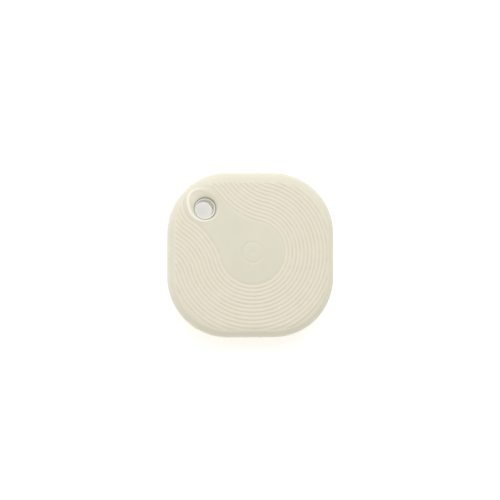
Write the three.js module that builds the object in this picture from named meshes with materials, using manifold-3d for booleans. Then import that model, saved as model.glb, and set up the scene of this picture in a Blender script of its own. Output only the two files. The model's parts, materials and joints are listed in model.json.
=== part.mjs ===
// Key-ring tracker tag: a rounded square case of two halves around a coin cell.
// Millimetres, +Z up. The tag lies on its flat back with its pressed face upwards,
// and the origin is the middle of the rest face.
import * as THREE from 'three';
import { mergeVertices } from 'three/addons/utils/BufferGeometryUtils.js';
import Module from 'manifold-3d';

const wasm = await Module();
wasm.setup();

// ---- Driving dimensions -------------------------------------------------------------

// Running clearance between pieces that slide or are pushed together, and how far a
// joined-on piece is sunk into the wall that carries it
const PLAY = 0.15;
const SUNK = 0.4;

// Outer body
const WIDTH = 36.0;
const LENGTH = 35.6;
const THICKNESS = 10.5;
const CORNER_RADIUS = 13.1;
const CORNER_STEPS = 12;
const CROWN = 0.3;
const FRONT_ROLL = { inset: 2.3, height: 3.9 };
const BACK_ROLL = { inset: 2.4, height: 3.3 };

// Case walls. An inset is measured inwards from the widest outline.
const SKIN_SIDE = 1.05;
const SKIN_BOTTOM_Z = 3.5;
const SKIN_CEILING_Z = 9.4;
const SHELL = { outer: 1.25, inner: 2.15, bottom: 2.9, ceiling: 8.35, top: 9.3, cove: 3.6 };
const INNER_ROLL = { inset: 1.85, height: 2.2 };
const COVER_RIM_Z = 3.3;
const GROOVE = { outer: 1.05, inner: 2.45, floor: 2.2 };
const LIP = { inner: 3.35, top: 5.2 };
const COVER_FLOOR_Z = 1.2;
const SEAL = { outer: 1.2, inner: 2.3, bottom: 2.25, top: 2.8 };

// Snap beads on the cover's lip, their grooves in the shell, and the opening notch
const BEAD = { length: 6.0, proud: 0.2, height: 0.5, z: 4.4 };
const BEAD_GROOVE = { length: 6.6, depth: 0.2, height: 0.8 };
const NOTCH = { width: 6.0, depth: 0.7, height: 0.7 };

// Keyring hole through the corner, with its hard sleeve. The sleeve's mouth is thinner
// than its wall, which leaves a narrow gap inside the throat of the skin.
const EYE = { x: -10.0, y: 9.8, bore: 1.95, wall: 2.6, top: 9.3, bottom: 0.5 };
const MOUTH = { radius: 2.25, bottom: 8.7 };
const COLLAR = { rim: 3.45, throat: 2.4 };
const EYE_FLANGE = { radius: 3.2, bottom: 6.9, top: 7.4 };
const EYE_SEAL = { inner: 2.75, outer: 3.45, bottom: 1.25, top: 2.15 };
const EYE_POCKET = 3.6;
const EYE_BOSS = { outer: 3.3, bottom: 7.6 };

// Press key under the middle of the face
const KEY = { radius: 5.2, flange: 5.85, nub: 1.0 };
const KEY_NUB_Z = 7.53;
const KEY_FLANGE_Z = { bottom: 7.75, top: 8.2 };

// Circuit board and its fixings
const BOARD = { inset: 3.8, bottom: 5.3, top: 6.1 };
const SOLDER = 0.05;
const SCREWS = [[10.2, 10.2], [-10.2, -10.2]];
const SCREW = {
  head: 1.3,
  headHeight: 0.55,
  edge: 0.15,
  shank: 0.55,
  length: 2.6,
  boss: 1.5,
  pilot: 0.7,
};

// Coin cell, 20 mm across and 3.2 mm thick
const CELL = { x: 1.2, y: -1.2, radius: 10.0, bottom: 1.3, top: 4.5, sheet: 0.3 };
const WELL = { inner: 10.45, outer: 11.35, top: 3.0 };
const HOLDER = { inner: 10.4, outer: 11.4, bottom: 3.4, top: 5.2 };
const CONTACT = {
  angle: -Math.PI * 3 / 4,
  sheet: 0.15,
  leafBottom: 2.6,
  leafWidth: 2.4,
  footLength: 2.0,
  bowWidth: 2.4,
};

// Tactile switch under the key and sounder in the corner
const SWITCH = { side: 4.2, bodyTop: 6.85, coverTop: 7.05, stemTop: 7.5 };
const STEM = { radius: 0.8, flange: 1.15, flangeBottom: 6.6, pocket: 1.3, pocketFloor: 6.2 };
const SOUNDER = { x: 7.3, y: -7.3, side: 8.5, height: 1.9, wall: 0.5, port: 0.7, disc: 0.15 };
const SOUND_HOLES = { count: 3, radius: 0.45, pitch: 1.8, x: 12.2, y: -4.0 };

// ---- Solids -------------------------------------------------------------------------

// One loop of the rounded square, drawn in from the widest outline by inset.
// share below 1 shrinks the loop towards the middle.
function outline(inset, share = 1) {
  const radius = CORNER_RADIUS - inset;
  const reachX = WIDTH / 2 - CORNER_RADIUS;
  const reachY = LENGTH / 2 - CORNER_RADIUS;
  const points = [];
  for (let corner = 0; corner < 4; corner += 1) {
    const cx = (corner === 0 || corner === 3) ? reachX : -reachX;
    const cy = corner < 2 ? reachY : -reachY;
    for (let step = 0; step <= CORNER_STEPS; step += 1) {
      const angle = (corner + step / CORNER_STEPS) * Math.PI / 2;
      const x = cx + radius * Math.cos(angle);
      const y = cy + radius * Math.sin(angle);
      points.push(new THREE.Vector2(x * share, y * share));
    }
  }
  return points;
}

// A section of [inset, z, share] carried round the rounded square. Walked with the
// material on its left, it is a closed ring, or a shell that ends on the middle axis.
function carried(section, ring) {
  const positions = [];
  const indices = [];
  for (const [inset, z, share] of section) {
    for (const point of outline(inset, share)) positions.push(point.x, point.y, z);
  }
  const count = positions.length / 3 / section.length;
  const rows = ring ? section.length : section.length - 1;
  for (let row = 0; row < rows; row += 1) {
    const low = row * count;
    const high = ((row + 1) % section.length) * count;
    for (let i = 0; i < count; i += 1) {
      const next = (i + 1) % count;
      indices.push(low + i, low + next, high + next);
      indices.push(low + i, high + next, high + i);
    }
  }
  if (!ring) {
    const first = positions.length / 3;
    positions.push(0, 0, section[0][1]);
    positions.push(0, 0, section.at(-1)[1]);
    const last = (section.length - 1) * count;
    for (let i = 0; i < count; i += 1) {
      const next = (i + 1) % count;
      indices.push(first, next, i);
      indices.push(first + 1, last + i, last + next);
    }
  }
  const geometry = new THREE.BufferGeometry();
  geometry.setAttribute('position', new THREE.Float32BufferAttribute(positions, 3));
  geometry.setIndex(indices);
  return geometry;
}

// Quarter ellipse from the side wall [wall, z] up to the face, as [inset, z] steps.
function roll(wall, z, size, steps, direction = 1) {
  const section = [];
  for (let step = 0; step <= steps; step += 1) {
    const angle = (step / steps) * Math.PI / 2;
    const inset = wall + size.inset * (1 - Math.cos(angle));
    section.push([inset, z + direction * size.height * Math.sin(angle)]);
  }
  return section;
}

// A section of [radius, z] turned about the Z axis at x, y, material on its left.
function turned(section, x, y, segments = 32) {
  const points = section.map(([radius, z]) => new THREE.Vector2(radius, z));
  const geometry = new THREE.LatheGeometry(points, segments);
  return geometry.rotateX(Math.PI / 2).translate(x, y, 0);
}

function tube(inner, outer, bottom, top, x, y, segments) {
  const section = [[inner, bottom], [outer, bottom], [outer, top], [inner, top], [inner, bottom]];
  return turned(section, x, y, segments);
}

function post(radius, bottom, top, x, y, segments = 24, topRadius = radius) {
  const geometry = new THREE.CylinderGeometry(topRadius, radius, top - bottom, segments);
  return geometry.rotateX(Math.PI / 2).translate(x, y, (bottom + top) / 2);
}

function block(width, length, bottom, top, x = 0, y = 0, angle = 0) {
  const geometry = new THREE.BoxGeometry(width, length, top - bottom);
  return geometry.rotateZ(angle).translate(x, y, (bottom + top) / 2);
}

// Closed geometry as a manifold solid, with merged corners and no empty triangles.
function toSolid(geometry) {
  const bare = geometry.clone();
  bare.deleteAttribute('normal');
  bare.deleteAttribute('uv');
  const merged = mergeVertices(bare);
  const index = merged.index.array;
  const triangles = [];
  for (let i = 0; i < index.length; i += 3) {
    const [a, b, c] = [index[i], index[i + 1], index[i + 2]];
    if (a !== b && b !== c && c !== a) triangles.push(a, b, c);
  }
  const vertProperties = new Float32Array(merged.attributes.position.array);
  const triVerts = new Uint32Array(triangles);
  return new wasm.Manifold(new wasm.Mesh({ numProp: 3, vertProperties, triVerts }));
}

function fromSolid(solid) {
  const mesh = solid.getMesh();
  const geometry = new THREE.BufferGeometry();
  geometry.setAttribute('position', new THREE.BufferAttribute(mesh.vertProperties, 3));
  geometry.setIndex(new THREE.BufferAttribute(mesh.triVerts, 1));
  return geometry;
}

// The base geometry with some pieces joined on and then others cut away.
function worked(base, joined, cut) {
  let solid = toSolid(base);
  for (const piece of joined) solid = solid.add(toSolid(piece));
  for (const piece of cut) solid = solid.subtract(toSolid(piece));
  return fromSolid(solid);
}

// A bar along the middle of each of the four sides, between two insets.
function sideBars(length, outer, inner, bottom, top) {
  const depth = inner - outer;
  const x = WIDTH / 2 - outer - depth / 2;
  const y = LENGTH / 2 - outer - depth / 2;
  return [
    block(depth, length, bottom, top, x, 0),
    block(depth, length, bottom, top, -x, 0),
    block(length, depth, bottom, top, 0, y),
    block(length, depth, bottom, top, 0, -y),
  ];
}

// ---- Materials and the assembly -----------------------------------------------------

const FINISH = {
  ivorySilicone: [0xe0dcca, 0.62, 0.0],
  ivoryPlastic: [0xdedac8, 0.45, 0.0],
  whitePlastic: [0xe8e6dc, 0.4, 0.0],
  greySilicone: [0x8f8f8a, 0.7, 0.0],
  blackPlastic: [0x1c1c1e, 0.5, 0.0],
  boardLaminate: [0x14402c, 0.4, 0.0],
  ceramic: [0xb9a98c, 0.5, 0.0],
  steel: [0xc4c5c7, 0.28, 1.0],
  nickel: [0xbfb9a8, 0.3, 1.0],
  brass: [0xc9a650, 0.3, 1.0],
};

const tag = new THREE.Group();

function addPiece(name, geometry, finish) {
  const [color, roughness, metalness] = FINISH[finish];
  const material = new THREE.MeshStandardMaterial({ color, roughness, metalness });
  const mesh = new THREE.Mesh(geometry, material);
  mesh.name = name;
  tag.add(mesh);
}

// ---- Back half: cover and seals -----------------------------------------------------

function backCover() {
  const side = roll(0, COVER_RIM_Z, BACK_ROLL, 7, -1).reverse();
  const section = [
    ...side,
    [GROOVE.outer, COVER_RIM_Z],
    [GROOVE.outer, GROOVE.floor],
    [GROOVE.inner, GROOVE.floor],
    [GROOVE.inner, LIP.top],
    [LIP.inner, LIP.top],
    [LIP.inner, COVER_FLOOR_Z],
  ];
  const well = tube(WELL.inner, WELL.outer, COVER_FLOOR_Z - SUNK, WELL.top, CELL.x, CELL.y, 48);
  const beadFace = GROOVE.inner - BEAD.proud;
  const beadRoot = GROOVE.inner + SUNK;
  const beadFoot = BEAD.z - BEAD.height / 2;
  const beads = sideBars(BEAD.length, beadFace, beadRoot, beadFoot, beadFoot + BEAD.height);
  const notchFoot = COVER_RIM_Z - NOTCH.height;
  const holes = [
    block(NOTCH.width, 2 * NOTCH.depth, notchFoot, COVER_RIM_Z + 1, 0, -LENGTH / 2),
    post(EYE_POCKET, COVER_FLOOR_Z, LIP.top + 1, EYE.x, EYE.y, 32),
    post(EYE.wall + PLAY, -1, COVER_FLOOR_Z + 1, EYE.x, EYE.y, 32),
    post(COLLAR.rim, -0.1, EYE.bottom, EYE.x, EYE.y, 32, EYE.wall + PLAY),
  ];
  for (let i = 0; i < SOUND_HOLES.count; i += 1) {
    const y = SOUND_HOLES.y + (i - 1) * SOUND_HOLES.pitch;
    holes.push(post(SOUND_HOLES.radius, -1, COVER_FLOOR_Z + 1, SOUND_HOLES.x, y, 12));
  }
  return worked(carried(section, false), [well, ...beads], holes);
}

function perimeterSeal() {
  const section = [
    [SEAL.outer, SEAL.top],
    [SEAL.inner, SEAL.top],
    [SEAL.inner, SEAL.bottom],
    [SEAL.outer, SEAL.bottom],
  ];
  return carried(section, true);
}

function eyeletSeal() {
  const { inner, outer, bottom, top } = EYE_SEAL;
  return tube(inner, outer, bottom, top, EYE.x, EYE.y, 32);
}

addPiece('back_cover', backCover(), 'ivoryPlastic');
addPiece('perimeter_seal', perimeterSeal(), 'greySilicone');
addPiece('eyelet_seal', eyeletSeal(), 'greySilicone');

// ---- Coin cell ----------------------------------------------------------------------

const CAN_INNER = CELL.radius - CELL.sheet;
const CAP_RADIUS = 8.85;
const GASKET_GAP = 0.1;

function cellCan() {
  const { radius, bottom, top, sheet } = CELL;
  const rim = top - sheet;
  const bend = 0.4;
  const section = [
    [0, bottom],
    [radius - bend, bottom],
    [radius, bottom + bend],
    [radius, rim],
    [CAN_INNER, rim],
    [CAN_INNER, bottom + sheet],
    [0, bottom + sheet],
  ];
  return turned(section, CELL.x, CELL.y, 48);
}

function cellCap() {
  const { bottom, top, sheet } = CELL;
  const foot = bottom + 2 * sheet;
  const section = [
    [0, top - sheet],
    [CAP_RADIUS - sheet, top - sheet],
    [CAP_RADIUS - sheet, foot],
    [CAP_RADIUS, foot],
    [CAP_RADIUS, top - sheet],
    [CAP_RADIUS - 0.2, top],
    [0, top],
  ];
  return turned(section, CELL.x, CELL.y, 48);
}

function cellGasket() {
  const inner = CAP_RADIUS + GASKET_GAP;
  const outer = CAN_INNER - GASKET_GAP;
  const bottom = CELL.bottom + CELL.sheet + GASKET_GAP;
  return tube(inner, outer, bottom, CELL.top - 0.35, CELL.x, CELL.y, 48);
}

addPiece('cell_can', cellCan(), 'steel');
addPiece('cell_cap', cellCap(), 'steel');
addPiece('cell_gasket', cellGasket(), 'blackPlastic');

// ---- Front half: skin, shell and keyring sleeve -------------------------------------

// Rounds the face up to its full height over the middle of the tag.
function crown(inset) {
  const rim = THICKNESS - CROWN;
  return [0.75, 0.5, 0.25].map((share) => [inset, rim + CROWN * (1 - share * share), share]);
}

function frontSkin() {
  const wallTop = THICKNESS - CROWN - FRONT_ROLL.height;
  const innerTop = SKIN_CEILING_Z - INNER_ROLL.height;
  const section = [
    ...roll(SKIN_SIDE, innerTop, INNER_ROLL, 4).reverse(),
    [SKIN_SIDE, SKIN_BOTTOM_Z],
    [0, SKIN_BOTTOM_Z],
    ...roll(0, wallTop, FRONT_ROLL, 7),
    ...crown(FRONT_ROLL.inset),
  ];
  const window = post(KEY.radius + PLAY, SKIN_CEILING_Z - 1, THICKNESS + 1, 0, 0, 40);
  const throat = post(COLLAR.throat, SKIN_CEILING_Z - 1, THICKNESS + 1, EYE.x, EYE.y, 32);
  const dish = post(COLLAR.throat, SKIN_CEILING_Z, THICKNESS, EYE.x, EYE.y, 32, COLLAR.rim);
  return worked(carried(section, false), [], [window, throat, dish]);
}

function frontShell() {
  const rollTop = SHELL.top - INNER_ROLL.height;
  const section = [
    [SHELL.cove, SHELL.ceiling],
    [SHELL.inner, SHELL.ceiling - 1],
    [SHELL.inner, SHELL.bottom],
    [SHELL.outer, SHELL.bottom],
    ...roll(SHELL.outer, rollTop, INNER_ROLL, 4),
  ];
  const bossTop = SHELL.ceiling + SUNK;
  const eyeHole = EYE.wall + PLAY;
  const bosses = [tube(eyeHole, EYE_BOSS.outer, EYE_BOSS.bottom, bossTop, EYE.x, EYE.y, 32)];
  const grooveFace = SHELL.inner - BEAD_GROOVE.depth;
  const grooveFoot = BEAD.z - BEAD_GROOVE.height / 2;
  const grooveTop = grooveFoot + BEAD_GROOVE.height;
  const holes = [
    ...sideBars(BEAD_GROOVE.length, grooveFace, SHELL.inner + SUNK, grooveFoot, grooveTop),
    post(KEY.radius + PLAY, SHELL.ceiling - 1, SHELL.top + 1, 0, 0, 40),
    post(eyeHole, SHELL.ceiling - 1, SHELL.top + 1, EYE.x, EYE.y, 32),
  ];
  for (const [x, y] of SCREWS) {
    bosses.push(post(SCREW.boss, BOARD.top + PLAY, bossTop, x, y));
    holes.push(post(SCREW.pilot, BOARD.top, SHELL.ceiling, x, y, 16));
  }
  return worked(carried(section, false), bosses, holes);
}

function keyringSleeve() {
  const { bore, wall, top, bottom } = EYE;
  const flange = EYE_FLANGE;
  const edge = 0.2;
  const section = [
    [bore, bottom + edge],
    [bore + edge, bottom],
    [wall, bottom],
    [wall, flange.bottom],
    [flange.radius, flange.bottom],
    [flange.radius, flange.top],
    [wall, flange.top],
    [wall, MOUTH.bottom],
    [MOUTH.radius, MOUTH.bottom],
    [MOUTH.radius, top],
    [bore + edge, top],
    [bore, top - edge],
    [bore, bottom + edge],
  ];
  return turned(section, EYE.x, EYE.y, 40);
}

addPiece('front_skin', frontSkin(), 'ivorySilicone');
addPiece('front_shell', frontShell(), 'ivoryPlastic');
addPiece('keyring_sleeve', keyringSleeve(), 'whitePlastic');

// ---- Press key ----------------------------------------------------------------------

function pressPad() {
  const section = [
    [0, SKIN_CEILING_Z],
    [KEY.radius, SKIN_CEILING_Z],
    [KEY.radius, THICKNESS - 0.05],
    [KEY.radius / 2, THICKNESS - 0.02],
    [0, THICKNESS],
  ];
  return turned(section, 0, 0, 40);
}

function keyPlate() {
  const { bottom, top } = KEY_FLANGE_Z;
  const section = [
    [0, KEY_NUB_Z],
    [KEY.nub, KEY_NUB_Z],
    [KEY.nub, bottom],
    [KEY.flange, bottom],
    [KEY.flange, top],
    [KEY.radius, top],
    [KEY.radius, SHELL.top],
    [0, SHELL.top],
  ];
  return turned(section, 0, 0, 40);
}

addPiece('press_pad', pressPad(), 'ivorySilicone');
addPiece('key_plate', keyPlate(), 'whitePlastic');

// ---- Circuit board, cell holder, contacts and screws --------------------------------

function circuitBoard() {
  const shape = new THREE.Shape(outline(BOARD.inset));
  const depth = BOARD.top - BOARD.bottom;
  const plate = new THREE.ExtrudeGeometry(shape, { depth, bevelEnabled: false });
  plate.translate(0, 0, BOARD.bottom);
  const eyeHole = EYE.wall + 2 * PLAY;
  const screwHole = SCREW.shank + 2 * PLAY;
  const holes = [post(eyeHole, BOARD.bottom - 1, BOARD.top + 1, EYE.x, EYE.y, 32)];
  for (const [x, y] of SCREWS) {
    holes.push(post(screwHole, BOARD.bottom - 1, BOARD.top + 1, x, y, 16));
  }
  return worked(plate, [], holes);
}

function cellHolder() {
  const ring = tube(HOLDER.inner, HOLDER.outer, HOLDER.bottom, HOLDER.top, CELL.x, CELL.y, 48);
  const radius = (HOLDER.inner + HOLDER.outer) / 2;
  const x = CELL.x + radius * Math.cos(CONTACT.angle);
  const y = CELL.y + radius * Math.sin(CONTACT.angle);
  const gap = CONTACT.leafWidth + 0.8;
  const slot = block(3.0, gap, HOLDER.bottom - 1, HOLDER.top + 1, x, y, CONTACT.angle);
  return worked(ring, [], [slot]);
}

// Sheet metal from its edge outline of [reach, z] points, turned to an angle about Z.
function bentStrip(edge, width, angle) {
  const shape = new THREE.Shape(edge.map(([reach, z]) => new THREE.Vector2(reach, z)));
  const geometry = new THREE.ExtrudeGeometry(shape, { depth: width, bevelEnabled: false });
  geometry.translate(0, 0, -width / 2).rotateX(Math.PI / 2).rotateZ(angle);
  return geometry.translate(CELL.x, CELL.y, 0);
}

// A shallow bow of spring strip: both ends soldered, its middle down on the cell's cap.
function negativeContact() {
  const foot = BOARD.bottom - SOLDER;
  const tip = CELL.top + 0.25;
  const bow = [[-4.5, foot], [-2.5, foot], [-0.6, tip], [0.6, tip], [2.5, foot], [4.5, foot]];
  const under = bow.map(([reach, z]) => [reach, z - CONTACT.sheet]).reverse();
  return bentStrip([...bow, ...under], CONTACT.bowWidth, 0);
}

// An angle strip: its leaf stands beside the can and its foot is soldered to the board.
function positiveContact() {
  const { sheet, leafBottom, footLength, leafWidth } = CONTACT;
  const foot = BOARD.bottom - SOLDER;
  const leaf = CELL.radius + 0.25;
  const edge = [
    [leaf, leafBottom],
    [leaf, foot - sheet],
    [leaf + footLength, foot - sheet],
    [leaf + footLength, foot],
    [leaf - sheet, foot],
    [leaf - sheet, leafBottom],
  ];
  return bentStrip(edge, leafWidth, CONTACT.angle);
}

function boardScrew(x, y) {
  const { head, headHeight, shank, length, edge } = SCREW;
  const under = BOARD.bottom - SOLDER;
  const section = [
    [0, under - headHeight],
    [head - edge, under - headHeight],
    [head, under - headHeight + edge],
    [head, under],
    [shank, under],
    [shank, under + length - shank / 2],
    [0, under + length],
  ];
  return turned(section, x, y, 24);
}

addPiece('circuit_board', circuitBoard(), 'boardLaminate');
addPiece('cell_holder', cellHolder(), 'blackPlastic');
addPiece('negative_contact', negativeContact(), 'nickel');
addPiece('positive_contact', positiveContact(), 'nickel');
SCREWS.forEach(([x, y], i) => addPiece(`board_screw_${i + 1}`, boardScrew(x, y), 'steel'));

// ---- Tactile switch -----------------------------------------------------------------

function switchBody() {
  const body = block(SWITCH.side, SWITCH.side, BOARD.top + SOLDER, SWITCH.bodyTop);
  return worked(body, [], [post(STEM.pocket, STEM.pocketFloor, SWITCH.bodyTop + 1, 0, 0)]);
}

function switchCover() {
  const side = SWITCH.side - 0.3;
  const bottom = SWITCH.bodyTop + SOLDER;
  const plate = block(side, side, bottom, SWITCH.coverTop);
  return worked(plate, [], [post(STEM.radius + PLAY, bottom - 1, SWITCH.coverTop + 1, 0, 0)]);
}

function switchPlunger() {
  const section = [
    [0, STEM.flangeBottom],
    [STEM.flange, STEM.flangeBottom],
    [STEM.flange, SWITCH.bodyTop],
    [STEM.radius, SWITCH.bodyTop],
    [STEM.radius, SWITCH.stemTop],
    [0, SWITCH.stemTop],
  ];
  return turned(section, 0, 0, 24);
}

addPiece('switch_body', switchBody(), 'blackPlastic');
addPiece('switch_cover', switchCover(), 'steel');
addPiece('switch_plunger', switchPlunger(), 'whitePlastic');

// ---- Sounder: a box with a port over a thin disc -------------------------------------

const SOUNDER_Z = BOARD.top + SOLDER;

function sounderCase() {
  const { x, y, side, height, wall, port } = SOUNDER;
  const top = SOUNDER_Z + height;
  const box = block(side, side, SOUNDER_Z, top, x, y, Math.PI / 4);
  const room = post(side / 2 - wall, SOUNDER_Z + wall, top - wall, x, y, 32);
  return worked(box, [], [room, post(port, top - wall - SUNK, top + 1, x, y, 16)]);
}

function sounderDisc() {
  const { x, y, side, wall, disc } = SOUNDER;
  const bottom = SOUNDER_Z + wall + PLAY;
  return post(side / 2 - wall - PLAY, bottom, bottom + disc, x, y, 32);
}

addPiece('sounder_case', sounderCase(), 'blackPlastic');
addPiece('sounder_disc', sounderDisc(), 'brass');

// ---- Chips on the board: [name, width, length, height, x, y, angle, finish] ----------

const RIGHT_ANGLE = Math.PI / 2;
const CHIPS = [
  ['radio_chip', 6.0, 6.0, 0.85, -8.4, -3.2, 0, 'blackPlastic'],
  ['radio_crystal', 2.5, 2.0, 0.6, -8.6, 2.4, 0, 'steel'],
  ['clock_crystal', 3.2, 1.5, 0.8, -4.4, -9.6, 0, 'steel'],
  ['chip_antenna', 7.0, 2.0, 0.9, 3.4, 11.8, 0, 'ceramic'],
  ['sounder_driver', 2.9, 1.3, 1.0, 10.4, 1.6, RIGHT_ANGLE, 'blackPlastic'],
  ['power_inductor', 2.0, 1.6, 1.0, -1.4, -11.4, 0, 'greySilicone'],
];
for (const [name, width, length, height, x, y, angle, finish] of CHIPS) {
  const bottom = BOARD.top + SOLDER;
  addPiece(name, block(width, length, bottom, bottom + height, x, y, angle), finish);
}

// Small capacitors and resistors, 1.0 x 0.5 mm on the board: [x, y, angle]
const CAPACITORS = [
  [-12.4, -5.4, RIGHT_ANGLE],
  [-12.4, -3.6, RIGHT_ANGLE],
  [-12.4, -1.8, RIGHT_ANGLE],
  [-11.0, 2.0, RIGHT_ANGLE],
  [-6.4, 2.6, RIGHT_ANGLE],
  [-9.6, -7.4, 0],
  [-7.6, -7.4, 0],
  [-1.4, 11.8, 0],
];
const RESISTORS = [
  [-3.2, 11.8, 0],
  [7.9, 3.0, RIGHT_ANGLE],
  [7.9, 1.0, RIGHT_ANGLE],
  [-1.6, -8.4, 0],
];
const SMALL = { width: 1.0, length: 0.5, capacitor: 0.5, resistor: 0.35 };

function addSmallParts(kind, places, height, finish) {
  const bottom = BOARD.top + SOLDER;
  places.forEach(([x, y, angle], i) => {
    const body = block(SMALL.width, SMALL.length, bottom, bottom + height, x, y, angle);
    addPiece(`${kind}_${i + 1}`, body, finish);
  });
}

addSmallParts('capacitor', CAPACITORS, SMALL.capacitor, 'ceramic');
addSmallParts('resistor', RESISTORS, SMALL.resistor, 'blackPlastic');

export default tag;
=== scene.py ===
import json
import math

import bmesh
import bpy
import numpy as np
from mathutils import Matrix, Vector
from mathutils.geometry import delaunay_2d_cdt


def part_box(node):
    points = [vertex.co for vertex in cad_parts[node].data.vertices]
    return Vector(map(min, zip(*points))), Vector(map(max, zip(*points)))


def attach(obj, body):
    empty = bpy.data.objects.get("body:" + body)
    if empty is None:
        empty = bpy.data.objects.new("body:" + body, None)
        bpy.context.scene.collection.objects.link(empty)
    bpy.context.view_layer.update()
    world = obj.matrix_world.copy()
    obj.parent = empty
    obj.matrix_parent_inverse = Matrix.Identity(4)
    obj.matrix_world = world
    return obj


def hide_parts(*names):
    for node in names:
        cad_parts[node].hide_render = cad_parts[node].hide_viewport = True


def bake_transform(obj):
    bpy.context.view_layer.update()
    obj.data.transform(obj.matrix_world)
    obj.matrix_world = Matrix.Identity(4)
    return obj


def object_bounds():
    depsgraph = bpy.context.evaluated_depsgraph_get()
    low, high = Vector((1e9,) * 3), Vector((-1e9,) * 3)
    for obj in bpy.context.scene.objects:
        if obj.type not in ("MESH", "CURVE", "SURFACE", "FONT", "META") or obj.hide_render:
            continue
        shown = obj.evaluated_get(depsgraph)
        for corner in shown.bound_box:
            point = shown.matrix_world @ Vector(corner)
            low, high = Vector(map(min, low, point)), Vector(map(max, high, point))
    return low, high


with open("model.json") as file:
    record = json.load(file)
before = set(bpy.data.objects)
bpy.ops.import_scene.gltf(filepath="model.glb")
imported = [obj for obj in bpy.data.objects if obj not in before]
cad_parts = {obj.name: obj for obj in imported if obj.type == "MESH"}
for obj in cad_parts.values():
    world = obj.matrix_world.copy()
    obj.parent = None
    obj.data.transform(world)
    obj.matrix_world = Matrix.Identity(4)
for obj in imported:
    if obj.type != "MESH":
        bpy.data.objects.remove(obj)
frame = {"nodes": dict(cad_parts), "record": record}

CAD_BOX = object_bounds()
MM = 0.001

# ---- Measures of the tag, in millimetres ----
# Every piece is modelled in millimetres and brought to metres when it is finished.

LOW, HIGH = [[axis / MM for axis in corner] for corner in CAD_BOX]
HALF_X = (HIGH[0] - LOW[0]) / 2
HALF_Y = (HIGH[1] - LOW[1]) / 2
THICKNESS = HIGH[2]
CORNER_RADIUS = 13.1
CORNER_STEPS = 24

# Front face: its side roll, its crown, the low dome of the press area and the border
ROLL_INSET, ROLL_HEIGHT, ROLL_POWER = 3.2, 3.9, 2.5
CROWN, CROWN_REACH, CROWN_POWER = 0.16, 16.0, 3.5
DOME, DOME_RADIUS = 0.14, 6.6
FACE_Z = THICKNESS - CROWN - DOME
BORDER, BORDER_MORE, BORDER_LESS = 1.65, 0.8, 0.85

# Smooth drop shape that the ridges run round: disc, collar and the two necks' radius
DISC = (0.15, 0.5, 6.87)
COLLAR = (-10.5, 10.65, 4.10)
NECK_RADIUS = 15.6

# Ridges: spacing, how far each ring moves down, the grooves, and the rows of one pitch
PITCH = 0.83
DRIFT = -0.025
GROOVE_DEPTH = 0.065
GROOVE_HALF_WIDTH = 0.45
RIDGE_FADE = 0.14
ROW_PHASES = (0, 0.1, 0.2, 0.34, 0.5, 0.66, 0.8, 0.9)
FIRST_ROW = -0.34
BORDER_ROWS = 13

# Sunk ring and dot in the middle of the disc
MARK_RING, MARK_DOT, MARK_LINE, MARK_DEPTH = 2.2, 0.55, 0.4, 0.05

# Keyring hole and the dish round it, whose lip is lowest on the side towards the disc
EYE = (-10.0, 9.8)
EYE_BORE, EYE_WALL, MOUTH_RADIUS = 1.95, 2.6, 2.25
DISH_CENTRE = (-10.1, 10.45)
DISH_RADIUS, DISH_LOBE = 3.2, 0.7
THROAT_CENTRE = (-9.96, 9.84)
THROAT_RADIUS = 2.36
DISH_ROWS, DISH_STEPS = 13, 96
DISH_LIP, DISH_LIP_WIDTH, DISH_LIP_OUT = 0.12, 0.42, 0.1
DISH_LOW_SIDE = (0.94, 0.34)
COLLAR_RIM = 3.45

# Parting line, the skin's inside, the walls of the two halves and the key
SKIN_BOTTOM, SKIN_WALL, SKIN_CEILING = 3.44, 1.05, 9.4
COVER_ROLL_INSET, COVER_ROLL_HEIGHT, COVER_RIM = 2.4, 3.3, 3.34
COVER_FLOOR = 1.2
WELL_INNER, WELL_OUTER, WELL_TOP = 10.45, 11.35, 3.0
GROOVE_OUTER, GROOVE_INNER, GROOVE_FLOOR = 1.05, 2.45, 2.2
LIP_INNER, LIP_TOP = 3.35, 5.2
SHELL_OUTER, SHELL_INNER, SHELL_BOTTOM = 1.25, 2.15, 2.9
SHELL_COVE, SHELL_CEILING, SHELL_TOP = 3.6, 8.35, 9.3
INNER_ROLL_INSET, INNER_ROLL_HEIGHT = 1.85, 2.2
BEAD_Z, BEAD_LENGTH = 4.4, 6.0
KEY_RADIUS = 5.2

# Board, cell and screws
BOARD_INSET, BOARD_BOTTOM, BOARD_TOP = 3.8, 5.3, 6.1
SCREWS = ((10.2, 10.2), (-10.2, -10.2))
CELL = (1.2, -1.2)
CELL_RADIUS, CELL_BOTTOM, CELL_TOP = 10.0, 1.3, 4.5

# Contacts: spring sheet, the feet on the board, and the way the side contact lies
SHEET = 0.15
CONTACT_WIDTH = 2.4
CONTACT_ANGLE = -0.75 * math.pi
FOOT_Z = BOARD_BOTTOM - 0.05 - SHEET / 2
BOW_Z = CELL_TOP + 0.25 - SHEET / 2

# Sounder: its middle, its side and its height
SOUNDER = (7.3, -7.3)
SOUNDER_SIDE, SOUNDER_HEIGHT = 8.5, 1.9

# ---- Modelling tools ----

# Heights this close together count as one.
LEVEL = 0.01


def linear(hex_colour):
    """An sRGB hex colour as linear RGBA."""
    channels = [int(hex_colour[i:i + 2], 16) / 255 for i in (1, 3, 5)]
    channels = [c / 12.92 if c <= 0.04045 else ((c + 0.055) / 1.055) ** 2.4 for c in channels]
    return (*channels, 1.0)


def only(*pieces):
    """Leave edit mode and select just these objects, the first one active."""
    if bpy.context.object and bpy.context.object.mode != "OBJECT":
        bpy.ops.object.mode_set(mode="OBJECT")
    bpy.ops.object.select_all(action="DESELECT")
    for piece in pieces:
        piece.select_set(True)
    if pieces:
        bpy.context.view_layer.objects.active = pieces[0]


def edit(piece):
    """Enter edit mode on one piece with nothing selected."""
    only(piece)
    bpy.ops.object.mode_set(mode="EDIT")
    bpy.ops.mesh.select_all(action="DESELECT")


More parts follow.
